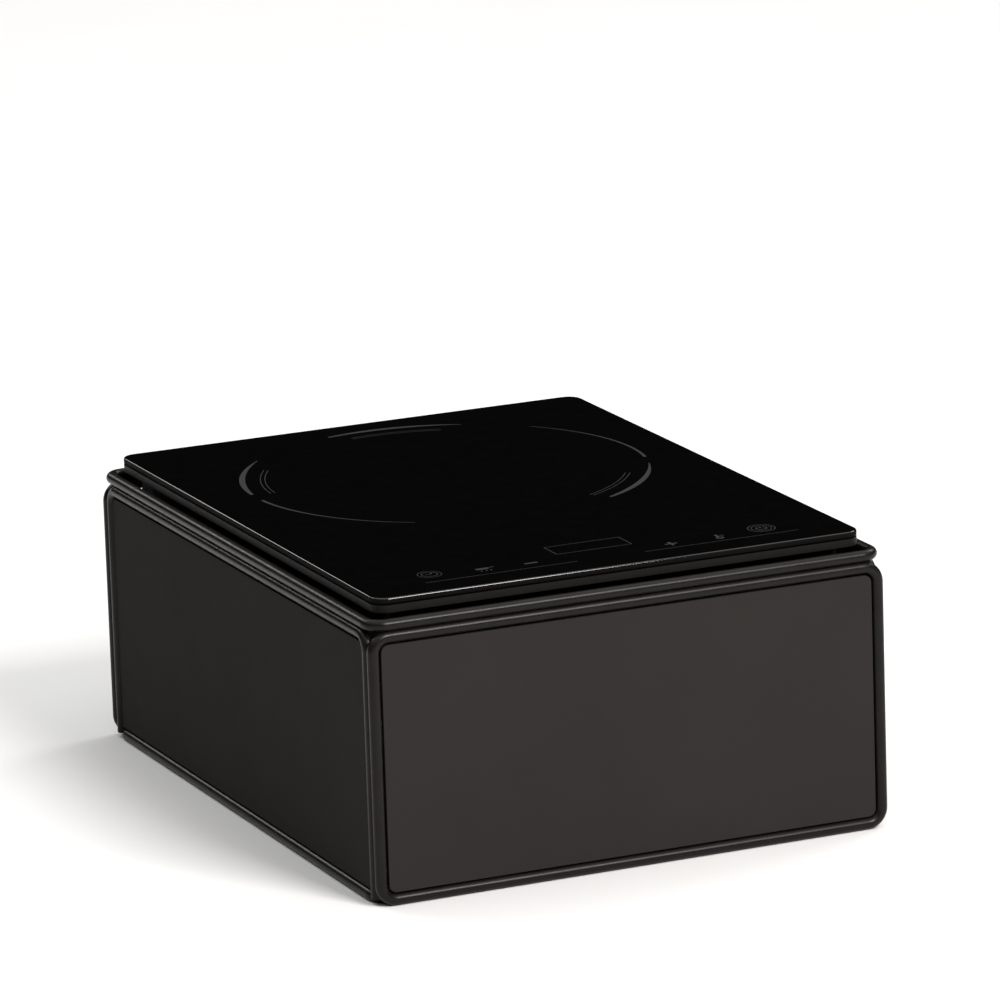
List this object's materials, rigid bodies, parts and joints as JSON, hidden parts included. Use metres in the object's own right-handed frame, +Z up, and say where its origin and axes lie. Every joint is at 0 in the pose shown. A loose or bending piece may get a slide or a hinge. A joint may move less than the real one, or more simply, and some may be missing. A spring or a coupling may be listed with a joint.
{
  "type": "electric induction cooktop",
  "caption": "Portable induction cooktop: black glass touch-control unit that lifts out of a black wire housing with flat inset panels.",
  "frame": {"origin": "centre of the housing's footprint, on the surface it stands on", "axes": "+Z up; the control side faces -Y; +X is the right-hand side seen from the controls"},
  "size_m": [0.305, 0.395, 0.1673],
  "materials": {
    "frame_wire": "satin black powder coat",
    "panel_black": "matt black fine-texture powder coat",
    "rail_black": "satin black powder coat",
    "screw_steel": "zinc plated",
    "black_glass": "polished black glass-ceramic",
    "seal_black": "matt",
    "frame_plastic": "satin charcoal",
    "case_plastic": "fine-grained black",
    "foot_rubber": "matt",
    "copper": "enamelled stranded wire",
    "carrier_plastic": "off-white",
    "ferrite": "ceramic grey",
    "mica": "pressed mica",
    "spring_steel": "bright",
    "silicone": "translucent white",
    "sleeve_white": "braided glass sleeve",
    "lead_grey": "PVC",
    "board_green": "solder mask",
    "heatsink_aluminium": "extruded",
    "device_black": "moulded",
    "capacitor_plastic": "moulded box",
    "can_aluminium": "sleeved can",
    "choke_green": "coated core",
    "transformer_yellow": "taped",
    "fuse_glass": "clear",
    "connector_white": "nylon",
    "gland_black": "nylon",
    "display_dark": "dark filter",
    "fan_black": "moulded"
  },
  "bodies": {
    "housing": {"top_ring": "frame_wire", "bottom_ring": "frame_wire", "front_loop": "frame_wire", "rear_loop": "frame_wire", "left_hoop": "frame_wire", "right_hoop": "frame_wire", "front_panel": "panel_black", "rear_panel": "panel_black", "left_panel": "panel_black", "right_panel": "panel_black", "front_rail": "rail_black", "rear_rail": "rail_black", "panel_tabs": "rail_black", "panel_screws": "screw_steel", "frame_welds": "frame_wire"},
    "cooktop": {"glass_top": "black_glass", "glass_seal": "seal_black", "top_frame": "frame_plastic", "lower_case": "case_plastic", "case_screws": "screw_steel", "rubber_feet": "foot_rubber", "coil_winding": "copper", "coil_carrier": "carrier_plastic", "ferrite_bars": "ferrite", "insulation_disc": "mica", "coil_springs": "spring_steel", "coil_screws": "screw_steel", "thermistor": "silicone", "thermistor_spring": "spring_steel", "coil_leads": "sleeve_white", "thermistor_lead": "lead_grey", "main_board": "board_green", "board_screws": "screw_steel", "heatsink": "heatsink_aluminium", "power_transistor": "device_black", "bridge_rectifier": "device_black", "film_capacitors": "capacitor_plastic", "filter_choke": "choke_green", "transformer": "transformer_yellow", "electrolytic_capacitors": "can_aluminium", "mains_fuse": "fuse_glass", "board_terminals": "connector_white", "terminal_block": "connector_white", "mains_leads": "lead_grey", "fan_lead": "lead_grey", "cord_gland": "gland_black", "gland_nut": "gland_black", "control_bracket": "case_plastic", "control_board": "board_green", "control_screws": "screw_steel", "touch_springs": "spring_steel", "display_module": "display_dark", "ribbon_cable": "lead_grey", "ribbon_sockets": "connector_white", "fan_frame": "fan_black", "fan_screws": "screw_steel", "air_duct": "case_plastic"},
    "rotor": {"fan_rotor": "fan_black"}
  },
  "joints": [
    {"name": "unit_lift", "type": "slide", "parent": "housing", "child": "cooktop", "axis": [0, 0, 1], "range_m": [0, 0.08]},
    {"name": "fan_spin", "type": "hinge", "parent": "cooktop", "child": "rotor", "pos_m": [-0.078, 0.07, 0.1235], "axis": [0, 0, 1], "continuous": true}
  ]
}
